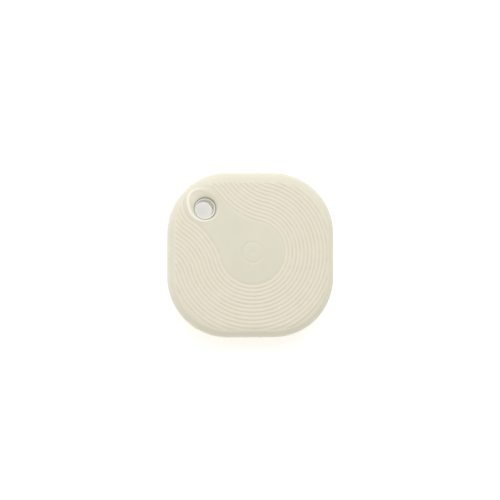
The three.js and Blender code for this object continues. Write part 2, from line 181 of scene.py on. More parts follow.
def pick(piece, kind, wanted):
    """In edit mode, select only the vertices, edges or faces that the test wants."""
    bpy.ops.mesh.select_all(action="DESELECT")
    bpy.ops.mesh.select_mode(type=kind)
    mesh = bmesh.from_edit_mesh(piece.data)
    mesh.normal_update()
    items = {"VERT": mesh.verts, "EDGE": mesh.edges, "FACE": mesh.faces}[kind]
    for item in items:
        if wanted(item):
            item.select_set(True)
    bmesh.update_edit_mesh(piece.data)


def pick_all():
    """In edit mode, select everything."""
    bpy.ops.mesh.select_all(action="SELECT")


def facing(up, z):
    """A test for faces that look along +Z or -Z at a height."""
    def wanted(face):
        level = abs(face.calc_center_median().z - z) < LEVEL
        return face.normal.z * up > 0.99 and level
    return wanted


def upright(edge):
    """A test for edges that stand along Z."""
    first, second = (vertex.co for vertex in edge.verts)
    return (first.xy - second.xy).length < 0.001


def rim_at(z):
    """A test for edges that lie at one height and bound a flat face there."""
    def wanted(edge):
        level = all(abs(vertex.co.z - z) < LEVEL for vertex in edge.verts)
        flat = sum(abs(face.normal.z) > 0.99 for face in edge.link_faces)
        return level and flat == 1
    return wanted


def round_edges(piece, wanted, width, steps):
    """Bevel the edges that the test wants, and stay in edit mode."""
    edit(piece)
    pick(piece, "EDGE", wanted)
    bpy.ops.mesh.bevel(offset=width, segments=steps, affect="EDGES")


def bar(size, place, turn=0.0):
    """A block of this size with its middle at this place, turned about Z."""
    only()
    bpy.ops.mesh.primitive_cube_add(size=1, location=place, rotation=(0, 0, turn), scale=size)
    bpy.ops.object.transform_apply()
    return bpy.context.object


def rod(radius, bottom, top, x, y, steps=64, top_radius=None):
    """A round bar or cone from bottom to top."""
    only()
    height = top - bottom
    place = (x, y, bottom + height / 2)
    end = radius if top_radius is None else top_radius
    bpy.ops.mesh.primitive_cone_add(
        vertices=steps, radius1=radius, radius2=end, depth=height, location=place
    )
    bpy.ops.object.transform_apply()
    return bpy.context.object


def rounded_block(inset, bottom, top):
    """The tag's rounded square, drawn in by an inset, from bottom to top."""
    size = (2 * (HALF_X - inset), 2 * (HALF_Y - inset), top - bottom)
    block = bar(size, (0, 0, (top + bottom) / 2))
    round_edges(block, upright, CORNER_RADIUS - inset, CORNER_STEPS)
    only(block)
    return block


def rolled_block(inset, bottom, top, rolled, roll_inset, roll_height, steps):
    """A rounded block whose edge at the rolled end is an ellipse; left in edit mode."""
    squash = roll_inset / roll_height
    block = rounded_block(inset, bottom * squash, top * squash)
    round_edges(block, rim_at(rolled * squash), roll_inset, steps)
    pick_all()
    bpy.ops.transform.resize(value=(1, 1, 1 / squash), center_override=(0, 0, 0))
    return block


def push(*way):
    """Extrude what is selected by this much."""
    bpy.ops.mesh.extrude_region_move(TRANSFORM_OT_translate={"value": way})


def turned(section, x, y, steps=96, edge=0.0, edge_steps=3):
    """A closed section of (radius, z) corners spun once round, its corners rounded by edge."""
    only()
    bpy.ops.mesh.primitive_circle_add(vertices=len(section), location=(0, 0, 0))
    piece = bpy.context.object
    edit(piece)
    mesh = bmesh.from_edit_mesh(piece.data)
    mesh.verts.ensure_lookup_table()
    for vertex, (radius, z) in zip(mesh.verts, section):
        vertex.co = (x + radius, y, z)
    bmesh.update_edit_mesh(piece.data)
    if edge:
        pick(piece, "VERT", lambda vertex: vertex.co.x > x + 0.001)
        bpy.ops.mesh.bevel(offset=edge, segments=edge_steps, affect="VERTICES")
    pick_all()
    bpy.ops.mesh.spin(steps=steps, angle=2 * math.pi, center=(x, y, 0), axis=(0, 0, 1))
    pick_all()
    bpy.ops.mesh.remove_doubles(threshold=0.001)
    bpy.ops.mesh.delete_loose()
    pick_all()
    bpy.ops.mesh.normals_make_consistent(inside=False)
    only(piece)
    return piece


def apply_modifier(piece, kind, **settings):
    """Add a modifier with these settings and apply it at once."""
    only(piece)
    modifier = piece.modifiers.new(kind.lower(), kind)
    for name, value in settings.items():
        setattr(modifier, name, value)
    bpy.ops.object.modifier_apply(modifier=modifier.name)


def combine(piece, operation, *tools):
    """Cut the tools out of the piece, or join them to it, and remove them."""
    for tool in tools:
        apply_modifier(piece, "BOOLEAN", operation=operation, object=tool, solver="EXACT")
        bpy.data.objects.remove(tool)


def soften(piece, width, segments=2, angle=40):
    """Round every edge that is sharper than an angle."""
    apply_modifier(
        piece, "BEVEL", width=width, segments=segments, limit_method="ANGLE",
        angle_limit=math.radians(angle), miter_outer="MITER_ARC",
    )


def finished(piece, name, slot, body, *replaced, angle=35):
    """Bring a piece to metres, and tie it to its finish, its body and its CAD nodes."""
    only(piece)
    piece.name = name
    piece.data.name = name
    piece.scale = (MM, MM, MM)
    bpy.ops.object.transform_apply()
    bpy.ops.object.shade_smooth_by_angle(angle=math.radians(angle))
    if not piece.data.materials:
        piece.data.materials.append(FINISHES[slot])
    if body:
        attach(piece, body)
    if replaced:
        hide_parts(*replaced)
    return piece


SLOTS = {part["node"]: part["material_slot"] for part in frame["record"]["subparts"]}


def build(shape, name, body):
    """Model a piece that stands for the CAD node which its function is named after."""
    node = shape.__name__
    finished(shape(), name, SLOTS[node], body, node)


# ---- Materials ----


def add(tree, kind, inputs, **settings):
    """A shader node with its settings; an input is a value or another node's output."""
    node = tree.nodes.new("ShaderNode" + kind)
    for name, value in settings.items():
        setattr(node, name, value)
    for name, value in inputs.items():
        if isinstance(value, bpy.types.NodeSocket):
            tree.links.new(value, node.inputs[name])
        else:
            node.inputs[name].default_value = value
    return node


def per_metre(size_mm):
    """The scale that gives a noise or wave of this size."""
    return 1 / (size_mm * MM)


def material(name, **shader):
    """A named material, its tree and its shader, with constant values on the sockets."""
    made = bpy.data.materials.new(name)
    made.use_nodes = True
    tree = made.node_tree
    surface = tree.nodes["Principled BSDF"]
    for socket, value in shader.items():
        surface.inputs[socket.replace("_", " ")].default_value = value
    return made, tree, surface


def feed(surface, socket, value):
    """Link a pattern to one of the shader's sockets."""
    surface.id_data.links.new(value, surface.inputs[socket])


def place_on(tree):
    """Object coordinates, which stay with the piece."""
    return add(tree, "TexCoord", {}).outputs["Object"]


def noise(tree, size_mm, detail=2.0, roughness=0.5):
    """Cloudy noise of one size, from 0 to 1."""
    inputs = {"Vector": place_on(tree), "Scale": per_metre(size_mm),
              "Detail": detail, "Roughness": roughness}
    return add(tree, "TexNoise", inputs).outputs["Fac"]


def spread(tree, value, low, high, source=(0.3, 0.7)):
    """Map the source range of a value onto low to high."""
    inputs = {"Value": value, "From Min": source[0], "From Max": source[1],
              "To Min": low, "To Max": high}
    return add(tree, "MapRange", inputs).outputs["Result"]


def blended(tree, share, first, second):
    """A colour between two, hex or linked, by a share."""
    pair = [linear(c) if isinstance(c, str) else c for c in (first, second)]
    inputs = {0: share, 6: pair[0], 7: pair[1]}
    return add(tree, "Mix", inputs, data_type="RGBA").outputs[2]


def raised(tree, surface, height, distance_mm):
    """Bump from a height of 0 to 1 that stands for this many millimetres."""
    inputs = {"Height": height, "Distance": distance_mm * MM, "Strength": 1.0}
    grain = add(tree, "Bump", inputs)
    feed(surface, "Normal", grain.outputs["Normal"])


def moulded(name, colours, roughness, grain_mm, grain_height_mm, **shader):
    """A moulded plastic or rubber: cloudy tint, eroded grain and uneven gloss. It gives
    the material and what a finish needs to add more to its colour."""
    made, tree, surface = material(name, **shader)
    tint = spread(tree, noise(tree, 5.0, 3.0), 0, 1)
    colour = blended(tree, tint, *colours)
    feed(surface, "Base Color", colour)
    grain = noise(tree, grain_mm, 2.0, 0.6)
    feed(surface, "Roughness", spread(tree, grain, *roughness))
    raised(tree, surface, grain, grain_height_mm)
    return made, tree, surface, colour


def ivory_silicone():
    """Liquid silicone rubber moulded over the shell: soft sheen, light passes a little
    way in. Outside the smooth drop shape it is paler; on the dish that paler tone is
    painted light that lifts the dish's shade. The dish's lip is painted near white as a
    painted highlight, and the bottoms of the grooves are darker, partly dusty and partly
    painted shade. The mould's spark grain is 0.05 mm and is drawn at 0.25 mm, so that it shows."""
    made, tree, surface, colour = moulded(
        "liquid_silicone_rubber_ivory", ("#e1ddcb", "#dedac7"), (0.5, 0.6), 0.25, 0.006,
        IOR=1.41, Subsurface_Weight=0.12, Subsurface_Scale=0.0008,
        Subsurface_Radius=(1.0, 0.9, 0.75), Sheen_Weight=0.15, Sheen_Roughness=0.5,
    )
    # Paler outside the smooth drop shape; on the dish this paler tone is painted light that lifts
    # the shade in the recess.
    around = add(tree, "Attribute", {}, attribute_name="around").outputs["Fac"]
    paler = blended(tree, around, colour, "#e9e3d1")
    # The bottoms of the grooves are darkened towards #dad2be: partly dusty, partly painted shade.
    hollow = add(tree, "Attribute", {}, attribute_name="hollow").outputs["Fac"]
    cloud = spread(tree, noise(tree, 1.6, 3.0), 0.5, 1.0)
    dust_and_painted_shade = add(tree, "Math", {0: hollow, 1: cloud}, operation="MULTIPLY").outputs[0]
    dulled = blended(tree, dust_and_painted_shade, paler, "#dad2be")
    # Painted highlight: the dish's lip is painted near white.
    lip = add(tree, "Attribute", {}, attribute_name="lip").outputs["Fac"]
    feed(surface, "Base Color", blended(tree, lip, dulled, "#f9f6ec"))
    return made


def ivory_plastic():
    """ABS and polycarbonate blend from a spark-eroded mould: an even, fine satin grain.
    The real grain is 0.05 mm, drawn at 0.22 mm so that it shows."""
    return moulded(
        "pc_abs_moulded_ivory", ("#e2ddca", "#ddd8c5"), (0.38, 0.5), 0.22, 0.008, IOR=1.57,
        Subsurface_Weight=0.04, Subsurface_Scale=0.0006,
    )[0]


def white_plastic():
    """Moulded acetal, slippery and slightly waxy, for parts that a ring or a switch rubs:
    light passes a little way in, and its gloss is uneven."""
    return moulded(
        "acetal_moulded_white", ("#f3f1e9", "#edebe1"), (0.3, 0.42), 0.3, 0.004, IOR=1.48,
        Subsurface_Weight=0.3, Subsurface_Scale=0.0006,
    )[0]


def grey_silicone():
    """Compression-moulded silicone seal: dull, with a cloudy grey and a faint bloom."""
    return moulded(
        "seal_silicone_grey", ("#8b8b87", "#9b9b96"), (0.6, 0.75), 0.2, 0.01, IOR=1.41,
        Sheen_Weight=0.15,
    )[0]


def black_plastic():
    """Glass-filled nylon and chip epoxy: near black, with a fine dull grain."""
    return moulded(
        "glass_filled_nylon_black", ("#1d1d1f", "#27272a"), (0.42, 0.6), 0.15, 0.012, IOR=1.53,
    )[0]


def chip_ceramic():
    """Fired dielectric ceramic: matt tan with darker specks."""
    made, tree, surface, colour = moulded(
        "fired_ceramic_tan", ("#b89a72", "#a88a63"), (0.45, 0.6), 0.12, 0.006, IOR=1.7,
    )
    specks = spread(tree, noise(tree, 0.1), 0, 0.4, (0.62, 0.7))
    feed(surface, "Base Color", blended(tree, specks, colour, "#6d5840"))
    return made


def chip_resistor():
    """Glazed black print over alumina: smooth with a slight gloss."""
    return moulded(
        "resistor_glaze_black", ("#161618", "#202024"), (0.2, 0.35), 0.15, 0.003, IOR=1.6,
    )[0]


def ferrite():
    """Pressed and sintered ferrite: dark grey, matt, faintly granular."""
    return moulded(
        "sintered_ferrite", ("#3b3b3e", "#48484b"), (0.55, 0.7), 0.1, 0.01, IOR=2.0,
    )[0]


# Rolling lines are ten times as long along the strip as across it.
ROLLED = (0.1, 1, 1)


def rubbed_metal(name, colours, roughness, mark_mm, axis_scale=(1, 1, 1)):
    """A metal with fine marks, drawn out where a scale says so, and dulled patches."""
    made, tree, surface = material(name, Metallic=1.0)
    place = add(tree, "Mapping", {"Vector": place_on(tree), "Scale": axis_scale})
    inputs = {"Vector": place.outputs["Vector"], "Scale": per_metre(mark_mm), "Detail": 3.0}
    marks = add(tree, "TexNoise", inputs).outputs["Fac"]
    cloud = noise(tree, 3.0, 3.0)
    feed(surface, "Base Color", blended(tree, cloud, *colours))
    dull = add(tree, "Math", {0: marks, 1: cloud}, operation="MULTIPLY").outputs[0]
    feed(surface, "Roughness", spread(tree, dull, *roughness, (0.1, 0.4)))
    raised(tree, surface, marks, 0.002)
    return made


def cell_steel():
    """Nickel-plated drawn stainless steel: bright, with faint rings from its press tool
    round the middle of the cell."""
    made, tree, surface = material("nickel_plated_steel_drawn", Metallic=1.0)
    offset = (-CELL[0] * MM, -CELL[1] * MM, 0)
    centred = add(tree, "Mapping", {"Vector": place_on(tree), "Location": offset})
    ring_mm = 0.5
    inputs = {"Vector": centred.outputs["Vector"], "Scale": per_metre(2 * math.pi * ring_mm),
              "Distortion": 0.6, "Detail": 2.0}
    rings = add(tree, "TexWave", inputs, wave_type="RINGS", rings_direction="Z")
    cloud = noise(tree, 2.5, 4.0)
    feed(surface, "Base Color", blended(tree, cloud, "#c9cacc", "#b5b6b8"))
    feed(surface, "Roughness", spread(tree, cloud, 0.2, 0.38))
    raised(tree, surface, rings.outputs["Fac"], 0.001)
    return made


def screw_steel():
    """Zinc-plated steel: bluish bright, with tumbling marks."""
    return rubbed_metal("zinc_plated_steel", ("#c3c6c9", "#a9adb2"), (0.22, 0.42), 0.2)


def nickel_spring():
    """Rolled nickel-silver spring strip: warm grey, with rolling lines along it."""
    colours = ("#c6c0ae", "#aea793")
    return rubbed_metal("nickel_silver_strip", colours, (0.2, 0.4), 0.5, ROLLED)


def disc_brass():
    """Rolled brass, with rolling lines and patches of tarnish."""
    return rubbed_metal("rolled_brass", ("#cda94f", "#a98539"), (0.25, 0.45), 0.3, ROLLED)


def solder():
    """Tin solder on the ends of the small parts and the pads: bright but uneven."""
    return rubbed_metal("tin_solder", ("#cfd1d2", "#b4b6b8"), (0.25, 0.45), 0.25)


def gold_plate():
    """Thin gold over nickel on the bare pads of the board."""
    return rubbed_metal("immersion_gold", ("#d9b466", "#c39f55"), (0.25, 0.4), 0.3)


def board_laminate():
    """Green solder mask over glass laminate: glossy, with the tracks showing through it
    as paler lines 0.2 mm wide."""
    made, tree, surface = material("fr4_green_mask", IOR=1.5, Coat_Weight=0.3, Coat_Roughness=0.12)
    inputs = {"Vector": place_on(tree), "Scale": per_metre(10), "Mortar Size": 0.012,
              "Mortar Smooth": 0.1, "Brick Width": 0.43, "Row Height": 0.12,
              "Color1": (0, 0, 0, 1), "Color2": (0, 0, 0, 1), "Mortar": (1, 1, 1, 1)}
    tracks = add(tree, "TexBrick", inputs, offset=0.37, squash=0.6).outputs["Color"]
    cloud = noise(tree, 4.0, 3.0)
    mask = blended(tree, cloud, "#0f4a2e", "#0c3f28")
    feed(surface, "Base Color", blended(tree, tracks, mask, "#1c6040"))
    feed(surface, "Roughness", spread(tree, cloud, 0.25, 0.4))
    raised(tree, surface, tracks, 0.02)
    return made


FINISHES = {make.__name__: make() for make in (
    ivory_silicone, ivory_plastic, white_plastic, grey_silicone, black_plastic, board_laminate,
    cell_steel, screw_steel, nickel_spring, disc_brass, chip_ceramic, chip_resistor, ferrite,
    solder, gold_plate,
)}

# ---- Front skin ----
# Its ridges run at a set distance round the drop shape, so its surface is worked out row
# by row along those distances instead of being pushed about by hand.


def piece_from(vertices, faces):
    """A mesh object in millimetres, its doubles merged and its faces turned outwards."""
    mesh = bpy.data.meshes.new("rows")
    mesh.from_pydata(vertices, [], faces)
    piece = bpy.data.objects.new("rows", mesh)
    bpy.context.scene.collection.objects.link(piece)
    edit(piece)
    pick_all()
    bpy.ops.mesh.remove_doubles(threshold=0.001)
    bpy.ops.mesh.dissolve_degenerate(threshold=0.001)
    pick_all()
    bpy.ops.mesh.normals_make_consistent(inside=False)
    only(piece)
    return piece


def inset_of(x, y):
    """How far a point lies inside the widest outline."""
    qx = np.abs(x) - (HALF_X - CORNER_RADIUS)
    qy = np.abs(y) - (HALF_Y - CORNER_RADIUS)
    outside = np.hypot(np.maximum(qx, 0), np.maximum(qy, 0))
    return CORNER_RADIUS - outside - np.minimum(np.maximum(qx, qy), 0)


def outline_normal(x, y):
    """The outline's outward direction at the point nearest to x, y."""
    step = 0.001
    nx = inset_of(x - step, y) - inset_of(x + step, y)
    ny = inset_of(x, y - step) - inset_of(x, y + step)
    length = np.hypot(nx, ny)
    return nx / length, ny / length


def roll_drop(inset):
    """How far the side roll has fallen below the face at this inset."""
    share = np.clip(1 - inset / ROLL_INSET, 0, 1)
    return ROLL_HEIGHT * (1 - (1 - share ** ROLL_POWER) ** (1 / ROLL_POWER))


def bump(distance, width):
    """A smooth hill that is 1 at distance 0 and 0 beyond a width."""
    return np.maximum(1 - (distance / width) ** 2, 0) ** 2


def eased(share):
    """A share of 0 to 1 that starts and ends gently."""
    return share * share * (3 - 2 * share)


def to_dish(x, y):
    """Distance to the dish's edge, which reaches further towards the tag's corner."""
    dx, dy = x - DISH_CENTRE[0], y - DISH_CENTRE[1]
    r = np.hypot(dx, dy)
    lobe = DISH_LOBE * np.maximum((dy - dx) / (r * math.sqrt(2)), 0) ** 4
    return r - DISH_RADIUS - lobe


def lip_share(x, y):
    """How much of the dish's lip stands up here; it fades out towards the disc."""
    dx, dy = x - DISH_CENTRE[0], y - DISH_CENTRE[1]
    low_x, low_y = DISH_LOW_SIDE
    away = 0.5 - 0.5 * (low_x * dx + low_y * dy) / np.hypot(dx, dy)
    return away * bump(to_dish(x, y) - DISH_LIP_OUT, DISH_LIP_WIDTH)


def face_z(x, y):
    """Height of the smooth face, with its crown, press dome, mark and dish lip."""
    power = CROWN_POWER
    reach = (np.abs(x / CROWN_REACH) ** power + np.abs(y / CROWN_REACH) ** power) ** (1 / power)
    crown = CROWN * np.maximum(1 - reach ** 2, 0)
    dome = DOME * bump(np.hypot(x, y), DOME_RADIUS)
    lip = DISH_LIP * lip_share(x, y)
    sunk = MARK_DEPTH * mark(np.hypot(x - DISC[0], y - DISC[1]))
    return FACE_Z + crown + dome + lip - sunk - roll_drop(inset_of(x, y))


def mark(r):
    """1 on the sunk ring and dot in the middle of the disc, 0 elsewhere, with soft edges."""
    slope = 0.1
    sunk_ring = np.clip((MARK_LINE / 2 - np.abs(r - MARK_RING)) / slope + 0.5, 0, 1)
    dot = np.clip((MARK_DOT - r) / slope + 0.5, 0, 1)
    return eased(np.maximum(sunk_ring, dot))


def groove(f):
    """Depth of the ridge pattern at distance f outside the drop shape."""
    phase = np.abs(f / PITCH - np.round(f / PITCH))
    share = np.clip(1 - phase / GROOVE_HALF_WIDTH, 0, 1)
    return np.where(f > -0.5 * PITCH, GROOVE_DEPTH * eased(share), 0)


# The disc and the collar lie on one axis; the neck circles touch both from outside.
AXIS = Vector(COLLAR[:2]) - Vector(DISC[:2])
SPAN = AXIS.length
ALONG = AXIS.normalized()
REACH_DISC = DISC[2] + NECK_RADIUS
REACH_COLLAR = COLLAR[2] + NECK_RADIUS
NECK_X = (REACH_DISC ** 2 - REACH_COLLAR ** 2 + SPAN ** 2) / (2 * SPAN)
NECK_Y = math.sqrt(REACH_DISC ** 2 - NECK_X ** 2)


def on_axis(px, py):
    """A point of the disc-collar axis frame in the tag's frame."""
    x = DISC[0] + ALONG.x * px - ALONG.y * py
    y = DISC[1] + ALONG.y * px + ALONG.x * py
    return x, y


def drop_curve():
    """Points and outward normals round the drop shape, as two arrays."""
    disc_turn = math.atan2(NECK_Y, NECK_X)
    collar_turn = math.atan2(NECK_Y, NECK_X - SPAN)
    neck_start = math.atan2(NECK_Y, -NECK_X)
    neck_end = math.atan2(NECK_Y, SPAN - NECK_X)
    # centre x, y, signed radius (inward for a neck), first and last angle, steps
    arcs = [
        (0, 0, DISC[2], disc_turn, 2 * math.pi - disc_turn, 320),
        (NECK_X, -NECK_Y, -NECK_RADIUS, neck_start, neck_end, 64),
        (SPAN, 0, COLLAR[2], -collar_turn, collar_turn, 150),
        (NECK_X, NECK_Y, -NECK_RADIUS, -neck_end, -neck_start, 64),
    ]
    points, normals = [], []
    for cx, cy, radius, first, last, steps in arcs:
        for step in range(steps):
            angle = first + (last - first) * step / steps
            ux, uy = math.cos(angle), math.sin(angle)
            points.append(on_axis(cx + abs(radius) * ux, cy + abs(radius) * uy))
            nx, ny = on_axis(math.copysign(ux, ux * radius), math.copysign(uy, uy * radius))
            normals.append((nx - DISC[0], ny - DISC[1]))
    return np.array(points), np.array(normals)


def border_at(x, y):
    """Width of the smooth border, wider along the top and narrower beside the dish."""
    out_x, out_y = outline_normal(x, y)
    wider = BORDER_MORE * np.maximum(out_y, 0) ** 2
    narrower = BORDER_LESS * np.maximum((out_y - out_x) / math.sqrt(2), 0) ** 8
    return BORDER + wider - narrower


def ridge_spots(points, normals, distance):
    """Points of the ridge pattern at a distance outside the drop shape.

    Each ring also moves down a little, so the pitch is widest along the bottom."""
    return points + (normals + (0, DRIFT)) * distance[:, None]


def border_reach(points, normals):
    """Distance along each normal to the border where the ridges stop."""
    # The border lies between these two distances on every normal, and is found by halving.
    near = np.full(len(points), -3.9)
    far = np.full(len(points), 30.0)
    for _ in range(40):
        middle = (near + far) / 2
        spots = ridge_spots(points, normals, middle)
        inside = inset_of(*spots.T) > border_at(*spots.T)
        near = np.where(inside, middle, near)
        far = np.where(inside, far, middle)
    return near


def front_skin():
    """The ridged skin with its dished collar, its side wall and its inside."""
    points, normals = drop_curve()
    reach = border_reach(points, normals)
    count = len(points)
    vertices, rows = [], []

    def add_row(x, y, z):
        start = len(vertices)
        vertices.extend(zip(x, y, z))
        rows.append(list(range(start, start + len(x))))
        return rows[-1]

    # Ridges: rows at set phases of each pitch, held back at the border
    distances = [FIRST_ROW * PITCH, -0.2 * PITCH, -0.1 * PITCH]
    for ridge in range(int(reach.max() / PITCH) + 1):
        distances += [(ridge + phase) * PITCH for phase in ROW_PHASES]
    for f in [*distances, reach.max()]:
        held = np.minimum(f, reach)
        x, y = ridge_spots(points, normals, held).T
        fade = np.clip((inset_of(x, y) - border_at(x, y)) / RIDGE_FADE, 0, 1)
        add_row(x, y, face_z(x, y) - groove(held) * fade)
    inner_loop = rows[0]

    # Smooth border and side roll, closer together as the roll steepens
    bx, by = ridge_spots(points, normals, reach).T
    mx, my = outline_normal(bx, by)
    border = inset_of(bx, by)
    for step in range(1, BORDER_ROWS + 1):
        inset = border * (1 - math.sin(step / BORDER_ROWS * math.pi / 2))
        x, y = bx + mx * (border - inset), by + my * (border - inset)
        add_row(x, y, face_z(x, y))

    # Side wall, rim and inside, each row at one inset and one height
    wall = [(0, 5.4), (0.02, 4.4), (0.05, SKIN_BOTTOM + 0.2), (0.09, SKIN_BOTTOM + 0.06)]
    wall += [(0.17, SKIN_BOTTOM), (SKIN_WALL - 0.1, SKIN_BOTTOM), (SKIN_WALL, SKIN_BOTTOM + 0.1)]
    for step in range(6):
        turn = step / 5 * math.pi / 2
        inset = SKIN_WALL + INNER_ROLL_INSET * (1 - math.cos(turn))
        wall.append((inset, SKIN_CEILING - INNER_ROLL_HEIGHT * (1 - math.sin(turn))))
    for inset, z in wall:
        x, y = bx + mx * (border - inset), by + my * (border - inset)
        add_row(x, y, np.full(count, z))
    ceiling_loop = rows[-1]

    faces = []

    def join(low, high):
        size = len(low)
        for i in range(size):
            j = (i + 1) % size
            faces.append((low[i], low[j], high[j], high[i]))

    for low, high in zip(rows, rows[1:]):
        join(low, high)

    # Dish, which rolls over from the face down to the throat
    angles = np.linspace(0, 2 * math.pi, DISH_STEPS, endpoint=False)
    ux, uy = np.cos(angles), np.sin(angles)
    edge = -to_dish(DISH_CENTRE[0] + ux * 0.001, DISH_CENTRE[1] + uy * 0.001)
    edge_x, edge_y = DISH_CENTRE[0] + edge * ux, DISH_CENTRE[1] + edge * uy
    throat_x = THROAT_CENTRE[0] + THROAT_RADIUS * ux
    throat_y = THROAT_CENTRE[1] + THROAT_RADIUS * uy
    edge_z = face_z(edge_x, edge_y)
    dish_rows = []
    for turn in np.linspace(0, math.pi / 2, DISH_ROWS):
        share, drop = math.sin(turn), 1 - math.cos(turn)
        x, y = edge_x + (throat_x - edge_x) * share, edge_y + (throat_y - edge_y) * share
        dish_rows.append(add_row(x, y, edge_z + (SKIN_CEILING - edge_z) * drop))
    for high, low in zip(dish_rows, dish_rows[1:]):
        join(low, high)

    fill(vertices, faces, inner_loop, dish_rows[0], face_points(), face_z)
    fill(vertices, faces, ceiling_loop, dish_rows[-1], [], lambda x, y: SKIN_CEILING)
    skin = piece_from(vertices, faces)
    keep_hollows(skin)
    return skin


def drop_distance(x, y):
    """Signed distance to the drop shape, negative inside it."""
    px = (x - DISC[0]) * ALONG.x + (y - DISC[1]) * ALONG.y
    py = np.abs((y - DISC[1]) * ALONG.x - (x - DISC[0]) * ALONG.y)
    to_disc = np.hypot(px, py) - DISC[2]
    to_collar = np.hypot(px - SPAN, py) - COLLAR[2]
    from_x, from_y = px - NECK_X, py - NECK_Y
    in_wedge = (-NECK_X * from_y + NECK_Y * from_x >= 0)
    in_wedge &= ((SPAN - NECK_X) * from_y + NECK_Y * from_x <= 0)
    to_neck = NECK_RADIUS - np.hypot(from_x, from_y)
    return np.where(in_wedge & (from_y < 0), to_neck, np.minimum(to_disc, to_collar))


def face_points():
    """Free points inside the drop shape, closer together round the mark and the dish."""
    chosen = []
    coarse_spacing, fine_spacing = 0.34, 0.13
    for spacing in (coarse_spacing, fine_spacing):
        span = np.arange(-18, 18, spacing)
        grid = [(x + (j % 2) * spacing / 2, y) for j, y in enumerate(span) for x in span]
        x, y = np.array(grid).T
        r = np.hypot(x - DISC[0], y - DISC[1])
        beyond = to_dish(x, y)
        fine = (r < MARK_RING + 0.4) | (beyond < DISH_LIP_WIDTH + 0.2)
        clear = (drop_distance(x, y) < FIRST_ROW * PITCH - spacing / 2) & (beyond > spacing / 2)
        clear &= inset_of(x, y) > border_at(x, y) + spacing / 2
        clear &= fine == (spacing == fine_spacing)
        chosen += list(zip(x[clear], y[clear]))
    return chosen


def fill(vertices, faces, outer, inner, free, height):
    """Triangles between two loops of vertices, over some free points."""
    fixed = [*outer, *inner]
    flat = [Vector(vertices[i][:2]) for i in fixed] + [Vector(p) for p in free]
    edges = []
    for first, loop in ((0, outer), (len(outer), inner)):
        edges += [(first + i, first + (i + 1) % len(loop)) for i in range(len(loop))]
    spots, _, triangles, origins, _, _ = delaunay_2d_cdt(flat, edges, [], 0, 1e-6)
    number = []
    for spot, origin in zip(spots, origins):
        if origin and origin[0] < len(fixed):
            number.append(fixed[origin[0]])
        else:
            number.append(len(vertices))
            z = height(np.array(spot.x), np.array(spot.y))
            vertices.append((spot.x, spot.y, float(z)))
    middles = [[sum(spots[i][axis] for i in t) / 3 for axis in (0, 1)] for t in triangles]
    middles = np.array(middles)
    kept = inside_loop(middles, flat[:len(outer)])
    kept &= ~inside_loop(middles, flat[len(outer):len(fixed)])
    faces.extend(tuple(number[i] for i in t) for t, keep in zip(triangles, kept) if keep)


def inside_loop(points, loop):
    """Whether each point lies inside a closed loop, by counting the sides to its right."""
    inside = np.zeros(len(points), bool)
    px, py = points.T
    for (ax, ay), (bx, by) in zip(loop, [*loop[1:], loop[0]]):
        if ay != by:
            crosses = (ay > py) != (by > py)
            inside ^= crosses & (px < (bx - ax) * (py - ay) / (by - ay) + ax)
    return inside


def keep_hollows(skin):
    """Store where the skin is outside the drop shape, less so on the smooth border, where
    it is in a groove, and where it is on the dish's lip."""
    count = len(skin.data.vertices)
    spots = np.zeros(count * 3)
    skin.data.vertices.foreach_get("co", spots)
    x, y, z = spots.reshape(-1, 3).T
    edge = 0.3
    around = np.clip(drop_distance(x, y) / edge + 1, 0, 1)
    around = np.maximum(around, np.clip(-to_dish(x, y) / edge, 0, 1))
    around *= 1 - 0.7 * np.clip((border_at(x, y) - inset_of(x, y)) / edge, 0, 1)
    on_face = np.abs(face_z(x, y) - z) < 1.5 * GROOVE_DEPTH
    # Groove mask: darkening that is partly dusty and partly painted shade.
    depth = np.clip((face_z(x, y) - z) / GROOVE_DEPTH, 0, 1) * around * on_face
    # Lip mask: where the painted highlight goes.
    lip = lip_share(x, y) * (z > SKIN_CEILING)
    for name, values in (("around", around), ("hollow", depth), ("lip", lip)):
        layer = skin.data.attributes.new(name, "FLOAT", "POINT")
        layer.data.foreach_set("value", values)


skin = finished(
    front_skin(), "front_skin_moulding", "ivory_silicone", None,
    "front_skin", "press_pad", angle=50,
)
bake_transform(skin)

# ---- Back cover and seals ----


def side_bars(length, outer, inner, bottom, top):
    """A bar along the middle of each of the four sides, between two insets."""
    depth = inner - outer
    middle = (bottom + top) / 2
    x, y = HALF_X - outer - depth / 2, HALF_Y - outer - depth / 2
    long_y, long_x = (depth, length, top - bottom), (length, depth, top - bottom)
    bars = [bar(long_y, (side * x, 0, middle)) for side in (-1, 1)]
    return bars + [bar(long_x, (0, side * y, middle)) for side in (-1, 1)]


def ring(inner, outer, bottom, top, x, y, steps=96, edge=0.0):
    """A round ring, its edges rounded where a width is given."""
    section = ((inner, bottom), (outer, bottom), (outer, top), (inner, top))
    return turned(section, x, y, steps, edge)


